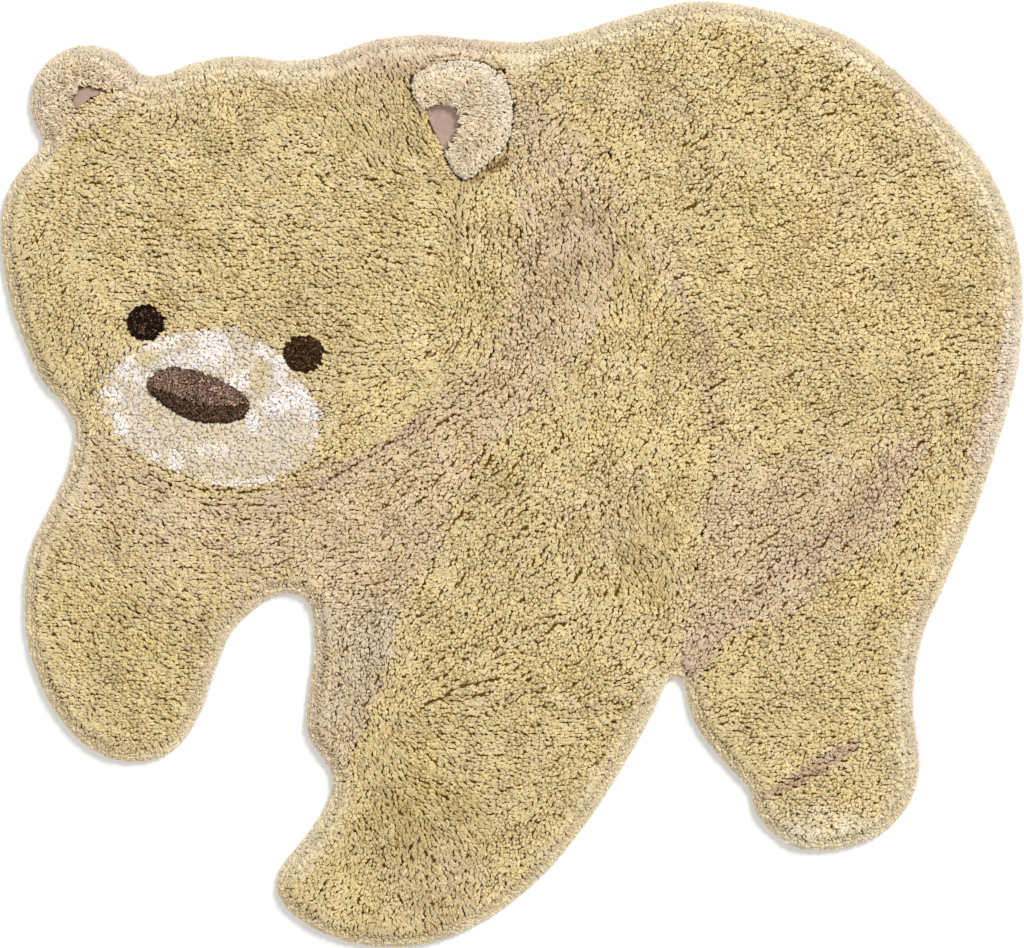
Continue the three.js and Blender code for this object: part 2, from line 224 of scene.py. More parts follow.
class Graph:
    # The node tree of one material, with its surface shader
    def __init__(self, name, **constants):
        self.material = bpy.data.materials.new(name)
        self.material.use_nodes = True
        self.tree = self.material.node_tree
        self.shader = self.tree.nodes["Principled BSDF"]
        for socket, value in constants.items():
            self.shader.inputs[socket.replace("_", " ")].default_value = value

    def add(self, kind, settings, inputs, output=0):
        node = self.tree.nodes.new("ShaderNode" + kind)
        for key, value in settings.items():
            setattr(node, key, value)
        for key, value in inputs.items():
            if isinstance(value, Wire):
                self.tree.links.new(value.socket, node.inputs[key])
            else:
                node.inputs[key].default_value = value
        return Wire(self, node.outputs[output])

    def attribute(self, name, output):
        return self.add("Attribute", {"attribute_name": name}, {}, output)

    def noise(self, place, scale, detail=2.0, roughness=0.5):
        values = {"Vector": place, "Scale": scale, "Detail": detail, "Roughness": roughness}
        return self.add("TexNoise", {}, values)

    def blend(self, share, first, second, way="MIX"):
        settings = {"data_type": "RGBA", "blend_type": way}
        return self.add("Mix", settings, {0: share, 6: first, 7: second}, 2)

    def feed(self, **links):
        for socket, value in links.items():
            self.tree.links.new(value.socket, self.shader.inputs[socket.replace("_", " ")])
        return self.material


def shadeColour(graph, value):
    # A number as an even grey, for colours to be multiplied with
    return graph.add("CombineColor", {}, {"Red": value, "Green": value, "Blue": value})


def pileMaterial(name, finish):
    # Yarn colour per tuft, with painted shade that deepens towards the root and in dark pores, and fibres
    # drawn out along each tuft
    sheen = {"Sheen_Weight": finish["sheen"], "Sheen_Roughness": 0.6}
    graph = Graph(name, Roughness=0.9, Specular_IOR_Level=0.05, **sheen)
    strand = graph.attribute("strand", "Vector")
    along = graph.add("Mapping", {}, {"Vector": strand, "Scale": finish["fibres"]})
    yarn = graph.attribute("yarn", "Color")
    strength = graph.attribute("yarn", "Alpha")
    height = graph.attribute("height", "Fac")
    fibre = graph.noise(along, *finish["grain"])
    # Painted shade: the yarn is multiplied with the root colour towards the root and in the pores
    deep = graph.blend(1.0, yarn, (*finish["root"], 1), "MULTIPLY")
    depth = (height * finish["rise"]).clamped() ** finish["falloff"]
    pore = ((finish["poreLevel"] - fibre) * finish["poreEdge"]).clamped() * strength
    lit = graph.blend(depth * (1 - pore * finish["pore"]), deep, yarn)
    spread = (fibre - 0.5) * finish["streak"] + 1.0
    streaked = graph.blend(1.0, lit, shadeColour(graph, spread), "MULTIPLY")
    relief = {"Strength": finish["bump"], "Distance": finish["relief"], "Height": fibre}
    varied, least = finish["dull"]
    dull = (fibre * varied + least).clamped()
    return graph.feed(Base_Color=streaked, Roughness=dull, Normal=graph.add("Bump", {}, relief))


weaving = {
    "wobble": (90, 2.0),
    "wobbly": 2.5,
    "slubs": (40, 700, 40),
    "uneven": (1.0, 3.0, 0.6),
    "worn": (55, 3.0, 0.6),
    "colour": (0.45, 0.55, 0.8),  # shares of the weave, the slubs and the wear
    "height": (0.7, 0.5),
    "bump": 0.6,
    "relief": 0.0005,
    "dull": (0.2, 0.75),
}


def clothMaterial(name, cloth):
    # A plain weave: threads cross over and under, some thicker than others
    graph = Graph(name, Roughness=0.85, Sheen_Weight=0.15, Sheen_Roughness=0.5, Specular_IOR_Level=0.05)
    place = graph.add("TexCoord", {}, {}, "Object")
    turned = graph.add("Mapping", {}, {"Vector": place, "Rotation": (0, 0, cloth["turn"])})
    across = graph.add("SeparateXYZ", {}, {"Vector": turned}, "X")
    down = graph.add("SeparateXYZ", {}, {"Vector": turned}, "Y")
    wobble = graph.noise(turned, *weaving["wobble"]) * weaving["wobbly"]
    turns = math.tau / cloth["thread"]
    weave = (across * turns + wobble).sine() * (down * turns * cloth["weft"] + wobble).sine() * 0.5 + 0.5
    slubs = graph.add("Mapping", {}, {"Vector": turned, "Scale": weaving["slubs"]})
    uneven = graph.noise(slubs, *weaving["uneven"])
    worn = graph.noise(turned, *weaving["worn"])
    dark, pale = (*cloth["dark"], 1), (*cloth["pale"], 1)
    woven, slubbed, wear = weaving["colour"]
    colour = graph.blend((weave * woven + uneven * slubbed + (worn - 0.5) * wear).clamped(), dark, pale)
    high, low = weaving["height"]
    height = weave * high + uneven * low
    relief = {"Strength": weaving["bump"], "Distance": weaving["relief"], "Height": height}
    varied, least = weaving["dull"]
    dull = (worn * varied + least).clamped()
    return graph.feed(Base_Color=colour, Roughness=dull, Normal=graph.add("Bump", {}, relief))


yarns = {
    "honey": (218, 199, 152),
    "honeyLeg": (217, 198, 151),
    "mustard": (204, 181, 122),
    "taupe": (215, 194, 159),
    "pinkTaupe": (214, 194, 158),
    "innerLeg": (211, 193, 163),
    "rose": (205, 182, 156),
    "ankle": (200, 175, 145),
    "mauve": (203, 178, 153),
    "rump": (224, 207, 186),
    "cream": (225, 207, 176),
    "creamFar": (224, 206, 174),
    "white": (243, 236, 231),
    "muzzleCream": (221, 209, 192),
    "muzzleHoney": (214, 200, 158),
    "olive": (200, 185, 120),
    "blush": (226, 204, 176),
    "noseTop": (147, 119, 103),
    "noseBase": (93, 71, 55),
    "eyeDark": (40, 25, 13),
    "eyeBrown": (70, 47, 29),
    # painted highlight on the tips of eye tufts
    "eyeHighlight": (98, 76, 60),
    "rimPale": (236, 228, 208),
    "rimPink": (228, 213, 195),
    # painted shadow of the near ear, over a seam where brown canvas also shows
    "umber": (150, 112, 72),
    "stitch": (238, 224, 214),
}
yarns = {name: srgb(*shade) for name, shade in yarns.items()}

plainFinish = {
    "sheen": 0.03,
    "fibres": (340, 720, 720),
    "streak": 1.1,
    # root: the painted shade that the yarn is multiplied with towards the tuft's root; rise and falloff: how
    # that shade thins out along the tuft
    "root": (0.47, 0.32, 0.06),
    "rise": 1.3,
    "falloff": 1.5,
    # pores: specks of painted shade, where shade falls between the fibres
    "poreLevel": 0.44,
    "poreEdge": 9.0,
    "pore": 0.64,
    "bump": 0.7,
    "relief": 0.0012,
    "grain": (1.0, 3.0, 0.65),
    "dull": (0.25, 0.75),
}
darkFinish = {**plainFinish, "sheen": 0.02, "streak": 1.6, "root": (0.4, 0.34, 0.28)}
finishes = {
    **dict.fromkeys(("honey", "taupe", "pink_taupe"), plainFinish),
    "tail": {**plainFinish, "root": (0.5, 0.4, 0.22)},
    "ear": {**plainFinish, "root": (0.5, 0.4, 0.25)},
    "muzzle": {**plainFinish, "root": (0.80, 0.72, 0.56), "pore": 0.4, "streak": 0.5},
    **dict.fromkeys(("nose_top", "nose_base", "eye"), darkFinish),
}
pileMaterials = {slot: pileMaterial(slot + "_pile", finish) for slot, finish in finishes.items()}
print("pile materials made:", len(pileMaterials))

# Where the rug, and the ear on top of it, end
rims = {
    "rug": {
        "height": 0.005,  # of the solids' outermost edge
        # Rows of tufts: how far in, and how high
        "rows": [(0.0006, 0.0057), (0.0024, 0.0078), (0.0048, 0.0106), (0.0016, 0.0028)],
        "planting": 0.0058,  # how far in the even planting starts
        "reach": 0.034,  # how far in tufts lean outwards
        "hem": 0.012,  # how far in the outermost tuft is rooted
        "floor": 0.0029,  # the lowest roots
    },
    "ear": {
        "height": 0.017,
        "rows": [(0.0006, 0.0220), (0.0026, 0.0245), (0.0048, 0.0262), (0.0012, 0.0150)],
        "planting": 0.0060,
        "reach": 0.018,
        "hem": 0.007,
        "floor": 0.0032,
    },
}
edging = {
    "step": 0.001,
    "apart": 3,
    "soften": 0.015,  # the rim and its direction are evened out over this much to either side
    "shift": 0.0025,
    "proud": 0.0011,
    "untidy": 0.0013,
    "uneven": 0.6,  # heights stray by this share of untidy, and at most by the next
    "most": 0.001,
    "arch": 0.0025,
    "width": 0.0045,
    "stretch": 0.8,
    "fleck": 0.06,
    "dim": 0.05,  # the rows facing the light are a little darker
}


def rimOf(names, height):
    # Places a step apart along the outermost edge of the named nodes, and the way out at each
    places, outwards, owners = [], [], []
    for name in names:
        bm = solidCopy(name)
        bm.verts.index_update()
        links, facing = {}, {}
        for edge in bm.edges:
            a, b = edge.verts
            if abs(a.co.z - height) < 1e-4 and abs(b.co.z - height) < 1e-4:
                links.setdefault(a.index, []).append(b.index)
                links.setdefault(b.index, []).append(a.index)
                facing[frozenset((a.index, b.index))] = sum((f.normal for f in edge.link_faces), Vector()).xy
        spots = [v.co.xy for v in bm.verts]
        while links:
            chain = [min(links, key=lambda i: (len(links[i]), i))]
            while links.get(chain[-1]):
                following = links[chain[-1]].pop(0)
                links[following].remove(chain[-1])
                chain.append(following)
            links = {i: others for i, others in links.items() if others}
            line = np.array([spots[i] for i in chain])
            x, y, at, reached = walked(line, edging["step"] / 2, edging["step"])
            leg = (np.searchsorted(reached, at) - 1).clip(0, len(line) - 2)
            places.append(np.stack([x, y], 1))
            run = unit(np.diff(line, axis=0))
            out = np.stack([run[:, 1], -run[:, 0]], 1)
            face = np.array([facing[frozenset(pair)] for pair in zip(chain[:-1], chain[1:])])
            outwards.append((out * np.where((out * face).sum(1) < 0, -1, 1)[:, None])[leg])
            owners += [name] * len(at)
        bm.free()
    places, outwards = np.concatenate(places), np.concatenate(outwards)
    tree = treeOf(places[:, 0], places[:, 1])
    ranges = [[found[1] for found in tree.find_range((x, y, 0), edging["soften"])] for x, y in places]
    evened = np.array([places[near].mean(0) for near in ranges]) - places
    evened *= np.minimum(1, edging["shift"] / np.maximum(np.linalg.norm(evened, axis=1), 1e-9))[:, None]
    outwards = unit(np.array([outwards[near].mean(0) for near in ranges]))
    places = places + evened + outwards * edging["proud"]
    tree = treeOf(places[:, 0], places[:, 1])
    return {"tree": tree, "places": places, "outwards": outwards, "owners": np.array(owners)}


combing = {
    "step": 0.0030,
    "steps": 5,
    "wave": 0.28,
    "waveSize": 0.028,
    "ripple": 0.25,
    "rippleSize": 0.011,
    "gain": 1.6,  # averaging along the lay weakens a drift, and this makes up for it
}
# Which way the pile lies, in degrees from +X, around a few places, and how deep it furrows there
lays = table("x/mm y/mm angle reach/mm open", [
    (-350, 300, -4, 150, 0.8),
    (-530, 330, -12, 90, 0.8),
    (-600, 260, 60, 70, 0.4),
    (-200, 240, -12, 100, 0.9),
    (-400, 480, 80, 60, 0.4),
    (-190, 450, 110, 50, 0.4),
    (-530, 140, 78, 60, 0.5),
    (-120, 50, 38, 90, 0.9),
    (0, 250, 86, 80, 0.8),
    (110, 240, 100, 70, 0.7),
    (60, 100, 70, 80, 0.8),
    (-220, -50, 24, 130, 0.5),
    (-400, -40, -14, 80, 0.4),
    (-60, -40, 56, 100, 1.3),
    (60, -140, 44, 100, 1.5),
    (160, 100, 62, 100, 1.0),
    (170, -100, 118, 70, 0.9),
    (0, -240, 32, 70, 1.2),
    (-20, -340, -14, 80, 0.8),
    (-140, -460, 96, 70, 0.9),
    (-80, -420, -38, 50, 0.9),
    (-240, -500, 48, 70, 0.5),
    (40, -420, 52, 70, 0.5),
    (-500, -140, -26, 100, 0.7),
    (-500, -290, -16, 100, 0.6),
    (-200, -240, 84, 60, 0.6),
    (330, 400, 28, 120, 1.3),
    (220, 460, 50, 80, 0.7),
    (480, 260, 16, 130, 0.8),
    (300, 200, 8, 100, 0.8),
    (340, 20, 24, 100, 0.7),
    (300, -100, 40, 90, 0.9),
    (480, -50, 60, 80, 0.8),
    (420, -160, 36, 80, 0.9),
    (400, -300, 12, 90, 0.7),
    (380, -420, 24, 70, 0.6),
])
# Longer creases where the pile has parted, and how deep
creases = table("way/mm open", [
    ([(-127, 496), (-122, 472), (-110, 459)], 1.7),
    ([(-86, 416), (-83, 394), (-70, 376), (-58, 369), (-26, 388)], 1.6),
    ([(-480, 508), (-497, 487), (-514, 488)], 2.0),
    ([(-543, 50), (-490, 0), (-434, -26)], 1.1),
    ([(-434, -26), (-370, -42), (-307, -42), (-256, -26)], 1.7),
    ([(-256, -26), (-211, 5), (-142, 44), (-91, 75)], 1.7),
    ([(-503, 44), (-459, 12), (-396, -18), (-326, -23), (-256, -1)], 1.5),
    ([(-256, -1), (-211, 44)], 1.7),
    ([(-459, -2), (-396, -29), (-330, -33)], 1.0),
    ([(-155, -327), (-80, -276), (-33, -262), (33, -262)], 1.9),
    ([(-85, -290), (-10, -270), (45, -252)], 1.4),
    ([(-26, -236), (39, -205), (85, -178), (123, -150)], 1.9),
    ([(-10, -215), (45, -180), (105, -168)], 1.3),
    ([(-143, -198), (-110, -140), (-85, -81), (-46, -15)], 1.4),
    ([(-46, -15), (0, 30), (39, 81), (65, 150)], 1.3),
    ([(-60, -75), (-15, -20), (30, 45)], 1.1),
    ([(-27, 527), (0, 495), (33, 456)], 1.6),
    ([(85, 406), (123, 342), (130, 237)], 0.9),
    ([(178, 4), (210, -48)], 1.2),
    ([(-520, 342), (-480, 330), (-430, 316), (-400, 316)], 1.5),
    ([(-395, 493), (-335, 497)], 1.0),
    ([(-540, 368), (-500, 400), (-470, 425)], 1.0),
    ([(-260, 270), (-205, 245)], 1.1),
    ([(-155, 217), (-110, 210), (-78, 232)], 1.1),
    ([(-310, 378), (-240, 370), (-210, 400)], 1.0),
    ([(-160, -362), (-110, -392), (-65, -418), (-7, -438)], 1.2),
    ([(-172, -372), (-150, -412), (-125, -452)], 1.1),
    ([(-168, -465), (-155, -515)], 1.4),
    ([(-140, -480), (-148, -530)], 1.1),
    ([(255, -243), (273, -204), (319, -172), (364, -152), (416, -120)], 1.6),
    ([(318, -176), (350, -158)], 1.6),
    ([(403, -138), (460, -130)], 1.2),
    ([(239, -147), (315, -71), (404, 5)], 0.75),
    ([(255, -160), (354, -77), (442, -7)], 0.85),
    ([(277, -172), (366, -103), (455, -33)], 0.75),
    ([(296, -160), (404, -109), (468, -45)], 0.65),
    ([(284, -122), (366, -45), (430, 24)], 0.65),
    ([(299, 362), (306, 335), (332, 316), (377, 322)], 1.5),
    ([(325, 385), (370, 405), (400, 400)], 1.1),
    ([(-500, -115), (-440, -155), (-390, -185)], 0.9),
    ([(-485, -165), (-430, -190), (-385, -225)], 0.8),
])
cracks = {
    "pitch": 0.026,  # between the starts of two cracks
    "step": 0.003,
    "steps": 22,
    "fewest": 3,
    "stray": 0.3,  # radians from the lay, at the start
    "wander": 0.30,  # radians a step
    "follow": 0.2,  # how much of its stray a crack makes up for in a step
    "depth": (2.2, 0.42),
    "waver": 0.004,  # how far a crease strays from its waypoints
    "waverSize": 0.016,
    "ends": 0.004,  # a crease's ends fade as if they were this much further out
    "deeper": 1.8,  # how much more a named crease opens than a crack
    "push": 0.0012,  # how far the tips beside a crack are parted
    "reach": 0.0036,
    "dip": 0.0010,
    "width": 0.0009,
    "near": 0.004,
}


def combed(x, y):
    # The lay's direction and how openly it cracks
    east, north, wide, total = 0, 0, 0, 0
    for row in lays:
        near = np.exp(-((x - row["x"]) ** 2 + (y - row["y"]) ** 2) / row["reach"] ** 2) + 1e-5
        angle = math.radians(row["angle"])
        east = east + near * math.cos(2 * angle)
        north = north + near * math.sin(2 * angle)
        wide = wide + near * row["open"]
        total = total + near
    angle = np.arctan2(north, east) / 2
    angle = angle + combing["wave"] * drift(x, y, combing["waveSize"], 43)
    return angle + combing["ripple"] * drift(x, y, combing["rippleSize"], 44), wide / total


def layCracks(low, high):
    # Short wandering lines that follow the lay. Returns a tree of their points, with direction and depth.
    rng = np.random.default_rng(11)
    gap = cracks["pitch"]
    x, y = np.meshgrid(np.arange(low.x, high.x, gap), np.arange(low.y, high.y, gap))
    x = x.ravel() + rng.uniform(-0.5, 0.5, x.size) * gap
    y = y.ravel() + rng.uniform(-0.5, 0.5, y.size) * gap
    angle, wide = combed(x, y)
    angle = angle + rng.normal(0, cracks["stray"], x.size)
    depth = wide * rng.gamma(*cracks["depth"], x.size)
    length = rng.integers(cracks["fewest"], cracks["steps"], x.size)
    rows = []
    for step in range(cracks["steps"]):
        live = step < length
        fade = np.sin(np.pi * (step + 0.5) / length.clip(1))
        rows.append(np.stack([x, y, np.cos(angle), np.sin(angle), depth * fade], 1)[live])
        turn, _ = combed(x, y)
        off = (turn - angle + math.pi / 2) % math.pi - math.pi / 2
        angle = angle + cracks["follow"] * off + rng.normal(0, cracks["wander"], x.size)
        x = x + np.cos(angle) * cracks["step"]
        y = y + np.sin(angle) * cracks["step"]
    for crease in creases:
        x, y, at, reached = walked(np.array(crease["way"]), 0, cracks["step"])
        aside = [cracks["waver"] * drift(x, y, cracks["waverSize"], seed) for seed in (12, 13)]
        x, y = x + aside[0], y + aside[1]
        run = unit(np.stack([np.gradient(x), np.gradient(y)], 1))
        fade = np.sin(np.pi * (at + cracks["ends"]) / (reached[-1] + cracks["ends"])) ** 0.5
        fade = fade * (0.8 + 0.4 * drift(x, y, 0.012, 14))
        rows.append(np.column_stack([x, y, run, crease["open"] * fade * cracks["deeper"]]))
    rows = np.concatenate(rows)
    return treeOf(rows[:, 0], rows[:, 1]), rows


def combedDrift(x, y, size, seed):
    # Drift that is drawn out along the lay
    total = 0
    for way in (0, math.pi):
        px, py = x.copy(), y.copy()
        heading = combed(x, y)[0] + way
        for step in range(combing["steps"]):
            total = total + drift(px, py, size, seed) * (0.5 if step == 0 else 1)
            angle = combed(px, py)[0]
            angle = np.where(np.cos(angle - heading) < 0, angle + math.pi, angle)
            heading = angle
            px = px + np.cos(angle) * combing["step"]
            py = py + np.sin(angle) * combing["step"]
    return total / combing["steps"] * combing["gain"]


pileNodes = sorted(name for name in nodes if name.endswith("_pile"))
rugRim = rimOf([name for name in pileNodes if name != "near_ear_pile"], rims["rug"]["height"])
earRim = rimOf(["near_ear_pile"], rims["ear"]["height"])
crackTree, crackRows = layCracks(*cadBox)
print("rim places:", len(rugRim["places"]), "crack places:", len(crackRows))


def tuftTemplate(sides, levels):
    # Triangles of one tuft, and each corner's place on its small square of the map
    corners, places = [], []
    top = 0.7
    for level in range(levels - 1):
        low, high = top * level / (levels - 1), top * (level + 1) / (levels - 1)
        for side in range(sides):
            a, b = level * sides + side, level * sides + (side + 1) % sides
            left, right = side / sides, (side + 1) / sides
            corners += [(a, b, b + sides), (a, b + sides, a + sides)]
            places += [[(left, low), (right, low), (right, high)], [(left, low), (right, high), (left, high)]]
    last = (levels - 1) * sides
    for side in range(sides):
        left, right = side / sides, (side + 1) / sides
        corners.append((last + side, last + (side + 1) % sides, levels * sides))
        places.append([(left, top), (right, top), ((left + right) / 2, 1)])
    return np.array(corners), np.array(places, float)


def growTufts(plants, sides, shape, stretch, rng):
    # plants: root, bend and tip points, width and yarn of each tuft, and how far the painted shade at its
    # root is lifted.
    # shape: (share of the length, share of the width) of each ring.
    count, levels = len(plants["tip"]), len(shape)
    along = np.array([row[0] for row in shape])[None, :, None]
    girth = np.array([row[1] for row in shape])[None, :, None]
    root, bend, tip = (plants[key][:, None, :] for key in ("root", "bend", "tip"))
    middle = root * (1 - along) ** 2 + bend * 2 * along * (1 - along) + tip * along**2
    run = unit(2 * (1 - along) * (bend - root) + 2 * along * (tip - bend))
    across = plants["across"][:, None, :]
    up = unit(np.cross(run, across))
    angle = np.arange(sides)[None, None, :] * math.tau / sides + rng.uniform(0, math.tau, (count, 1, 1))
    reach = plants["width"][:, None, None] / 2 * girth * rng.uniform(*pile["ragged"], (count, levels, sides))
    east, north = np.cos(angle)[..., None], stretch * np.sin(angle)[..., None]
    spread = east * across[:, :, None, :] + north * up[:, :, None, :]
    ring = middle[:, :, None, :] + reach[..., None] * spread
    apex = plants["tip"] + run[:, -1] * plants["width"][:, None] * rng.uniform(*pile["dome"], (count, 1))
    points = np.concatenate([ring.reshape(count, -1, 3), apex[:, None]], 1)
    points[..., 2] = np.maximum(points[..., 2], pile["lowest"])
    # Height along the tuft, which the material turns into painted shade that darkens towards the root
    heights = np.concatenate([np.repeat(along[0, :, 0], sides), [1.0]])
    heights = plants["lift"][:, None] + (1 - plants["lift"][:, None]) * heights
    length = np.linalg.norm(plants["tip"] - plants["root"], axis=1)[:, None, None]
    drawn = np.broadcast_to(along * length, (count, levels, sides))
    number = rng.uniform(0, 40, (count, 1, 1))  # keeps the fibres of one tuft unlike another's
    strand = np.stack([drawn, np.cos(angle) * reach, number + np.sin(angle) * reach], -1)
    end = np.stack([length[:, 0, 0], np.zeros(count), number[:, 0, 0]], -1)[:, None]
    strand = np.concatenate([strand.reshape(count, -1, 3), end], 1)
    corners, places = tuftTemplate(sides, levels)
    faces = corners[None] + (np.arange(count) * points.shape[1])[:, None, None]
    return {
        "points": points.reshape(-1, 3),
        "faces": faces.reshape(-1, 3),
        "places": places,
        "count": count,
        "height": heights.ravel(),
        "strand": strand.reshape(-1, 3),
        "yarn": np.repeat(plants["yarn"], points.shape[1], axis=0),
    }


bed = {
    "share": 0.78,
    "inset": 0.0065,
    "reach": 0.03,
    "strip": 0.08,  # of the map
    # height, shade and muzzle: the bed between the tufts is painted in shade, the yarn darkened by these
    # (muzzle for the muzzle's bed) and by the root's painted shade
    "height": 0.25,
    "shade": (0.30, 0.23, 0.11),
    "muzzle": (0.85, 0.80, 0.68),
}


def bedMesh(name, around):
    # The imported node, lowered and drawn in, so that no floor shows between the tufts
    bm = solidCopy(name)
    bmesh.ops.triangulate(bm, faces=bm.faces)
    bm.verts.index_update()
    points = np.array([v.co for v in bm.verts])
    faces = np.array([[v.index for v in f.verts] for f in bm.faces])
    bm.free()
    index, far = nearest(around["tree"], points[:, 0], points[:, 1])
    points[:, :2] -= around["outwards"][index] * (bed["inset"] * smooth(1 - far / bed["reach"]))[:, None]
    base = points[:, 2].min()
    points[:, 2] = base + (points[:, 2] - base) * bed["share"]
    return points, faces


def joinPile(name, groups, ground, shade):
    # One mesh from a bed and groups of tufts, with the map and the attributes that its material reads
    points, faces = ground
    low, high = points.min(0)[:2], points.max(0)[:2]
    parts = [
        {
            "points": points,
            "faces": faces,
            "map": (points[faces][..., :2] - low) / (high - low) * [1, bed["strip"] * 0.9],
            "height": np.full(len(points), bed["height"]),
            "strand": points,
            "yarn": np.tile([*shade, 1.0], (len(points), 1)),
        }
    ]
    across = math.ceil(math.sqrt(sum(group["count"] for group in groups) / (1 - bed["strip"])))
    size = np.array([1 / across, 1 / across * (1 - bed["strip"])])
    done, start = 0, len(points)
    for group in groups:
        number = np.arange(group["count"]) + done
        corner = np.stack([number % across, number // across], 1) * size + [0, bed["strip"]]
        inner = group["places"] * 0.9 + 0.05  # a little clear of the neighbouring squares
        flat = (corner[:, None, None, :] + inner[None] * size).reshape(-1, 3, 2)
        parts.append({**group, "faces": group["faces"] + start, "map": flat})
        start += len(group["points"])
        done += group["count"]
    joined = {key: np.concatenate([part[key] for part in parts]) for key in parts[0]}
    points, faces = joined["points"], joined["faces"]
    mesh = bpy.data.meshes.new(name)
    mesh.vertices.add(len(points))
    mesh.vertices.foreach_set("co", points.astype(np.float32).ravel())
    mesh.loops.add(faces.size)
    mesh.loops.foreach_set("vertex_index", faces.astype(np.int32).ravel())
    mesh.polygons.add(len(faces))
    mesh.polygons.foreach_set("loop_start", np.arange(0, faces.size, 3, dtype=np.int32))
    mesh.update(calc_edges=True)
    mesh.shade_flat()
    layer = mesh.uv_layers.new(name="OFBake")
    layer.uv.foreach_set("vector", joined["map"].astype(np.float32).ravel())
    fields = {
        "yarn": ("FLOAT_COLOR", "color"),
        "height": ("FLOAT", "value"),
        "strand": ("FLOAT_VECTOR", "vector"),
    }
    for label, (sort, field) in fields.items():
        values = joined[label].astype(np.float32).ravel()
        mesh.attributes.new(label, sort, "POINT").data.foreach_set(field, values)
    return mesh


areas = table("name slot yarn kind", [
    ("head", "honey", "honey"),
    ("neck", "taupe", "taupe"),
    ("far_foreleg", "honey", "honeyLeg"),
    ("near_foreleg", "honey", "honeyLeg"),
    ("inner_leg", "pink_taupe", "innerLeg"),
    ("back", "honey", "honey"),
    ("belly", "pink_taupe", "pinkTaupe"),
    ("hind_leg", "honey", "honeyLeg"),
    ("ankle", "pink_taupe", "ankle"),
    ("tail", "tail", "rump"),
    ("far_ear", "ear", "creamFar", "curly"),
    ("near_ear", "ear", "cream", "curly"),
    ("muzzle", "muzzle", "muzzleCream", "plush"),
    ("nose_top", "nose_top", "noseTop", "dense"),
    ("nose_base", "nose_base", "noseBase", "dense"),
    ("left_eye", "eye", "eyeDark", "dense"),
    ("right_eye", "eye", "eyeBrown", "dense"),
])
areas = {row["name"] + "_pile": row for row in areas}
# How each kind of pile is set. comb: how far it follows the combing of the rug, fleck: how far shades differ.
kinds = table("name pitch width stretch turn stray comb fleck", [
    ("combed", 0.00436, 0.0050, 2.0, 0.35, 0.0012, 1.0, 0.05),
    ("curly", 0.0036, 0.0034, 3.4, 0.7, 0.0034, 0.4, 0.08),
    ("plush", 0.0042, 0.0053, 1.5, 0.8, 0.0012, 0.35, 0.03),
    ("dense", 0.0026, 0.0030, 1.3, 0.8, 0.0007, 0.0, 0.42),
])
kinds = {row["name"]: row for row in kinds}
pile = {
    "jitter": 0.34,  # how far a tuft strays from its even place, in pitches
    "dome": (0.0, 0.14),
    "ragged": (0.7, 1.25),
    "lowest": 0.0002,  # of any tuft
    "thinnest": 0.0035,  # nothing is planted where a solid is lower
    "earClear": 0.002,  # how far the far ear's tufts keep from its cloth
    "lay": 0.0030,  # how far the tips lean along the lay
    "furrow": 0.0052,
    "rough": 0.75,  # how furrowed, and how much that differs
    "roughest": (0.1, 1.6),
    "gather": 4e-6,
    "gathered": 0.0022,  # at most
    "probe": 0.0012,  # how far to both sides a furrow's slope is read
    "ridge": 0.0012,
    "sway": 0.0022,  # how far tips lean together
    "uneven": 0.0009,
    "sunk": 0.05,  # share of the tufts that are cut lower
    "depth": (0.0015, 0.0045),
    "seam": 0.0028,  # how deep the pile dips where two areas meet
    "tipLean": 0.35,  # shares of a tuft's lean, and of its bend
    "rootLean": 0.65,
    "upright": (0.15, 0.75),
    "bendFrom": 0.016,
    "sides": 4,
}
# How high the pile stands, by how far in from the rim
shoulder = {"in": [0, 0.0012, 0.0094, 0.0282], "high": [0.005, 0.0063, 0.0140, 0.0220]}
tuftShape = [(0.4, 0.8), (0.92, 1.0)]
rimShape = [(0.45, 0.9), (0.97, 0.9)]

# Where the shade leaves an area's own yarn: along a line of waypoints, how far to its sides, how much, and in
# which area if in one alone
tints = table("way/mm reach/mm yarn share only", [
    ([(627, 119), (590, 34)], 22, "rose", 0.7),
    ([(521, -160), (508, -287)], 12, "rose", 0.8),
    ([(315, 335)], 30, "olive", 0.5),
    ([(420, 360)], 50, "blush", 0.3),
    ([(160, 440)], 60, "blush", 0.25),
    ([(120, -60)], 50, "blush", 0.3),
    ([(-80, -520)], 60, "blush", 0.35),
    ([(-460, -250)], 50, "olive", 0.25),
    ([(-270, 515), (-210, 520), (-140, 515)], 26, "cream", 0.6),
    ([(-210, 525), (-140, 520), (-50, 515)], 18, "rose", 0.45),
    ([(-460, -5), (-395, -23), (-320, -23), (-240, -5), (-180, 30), (-116, 62)], 15, "mauve", 0.95, "neck"),
    ([(-459, 8), (-370, -26), (-326, -30), (-230, 5), (-211, 24)], 6, "honey", 0.9),
    ([(-70, 90), (-20, 140), (30, 210), (60, 280)], 30, "rose", 0.3),
    ([(10, 507), (61, 462), (112, 386), (163, 310), (213, 234), (245, 170), (254, 70)], 8, "rose", 0.6),
    ([(246, 155), (258, 60)], 17, "taupe", 0.6),
    ([(500, 31), (455, -33), (392, -90), (316, -147), (258, -204), (227, -236)], 18, "mauve", 0.9, "belly"),
    ([(62, -58)], 13, "cream", 0.6),
    ([(151, 5)], 13, "cream", 0.5),
    ([(-475, 494), (-510, 462), (-548, 437), (-582, 421)], 11, "rump", 0.7),
    ([(-528, 434), (-570, 412)], 6, "olive", 0.6),
    ([(-235, -478), (-155, -450), (-120, -400)], 60, "mustard", 0.6),
    ([(-510, -30), (-400, -55)], 45, "cream", 0.6),
    # Painted shadow that the near ear casts on the seam at its lower right, where brown canvas also shows
    ([(-46, 375), (-15, 393), (2, 401)], 6, "umber", 0.9),
    ([(4, 405)], 12, "olive", 0.5),
    ([(360, -455), (440, -450)], 30, "rimPale", 0.6),
])
tinted = [name for name, area in areas.items() if "kind" not in area]

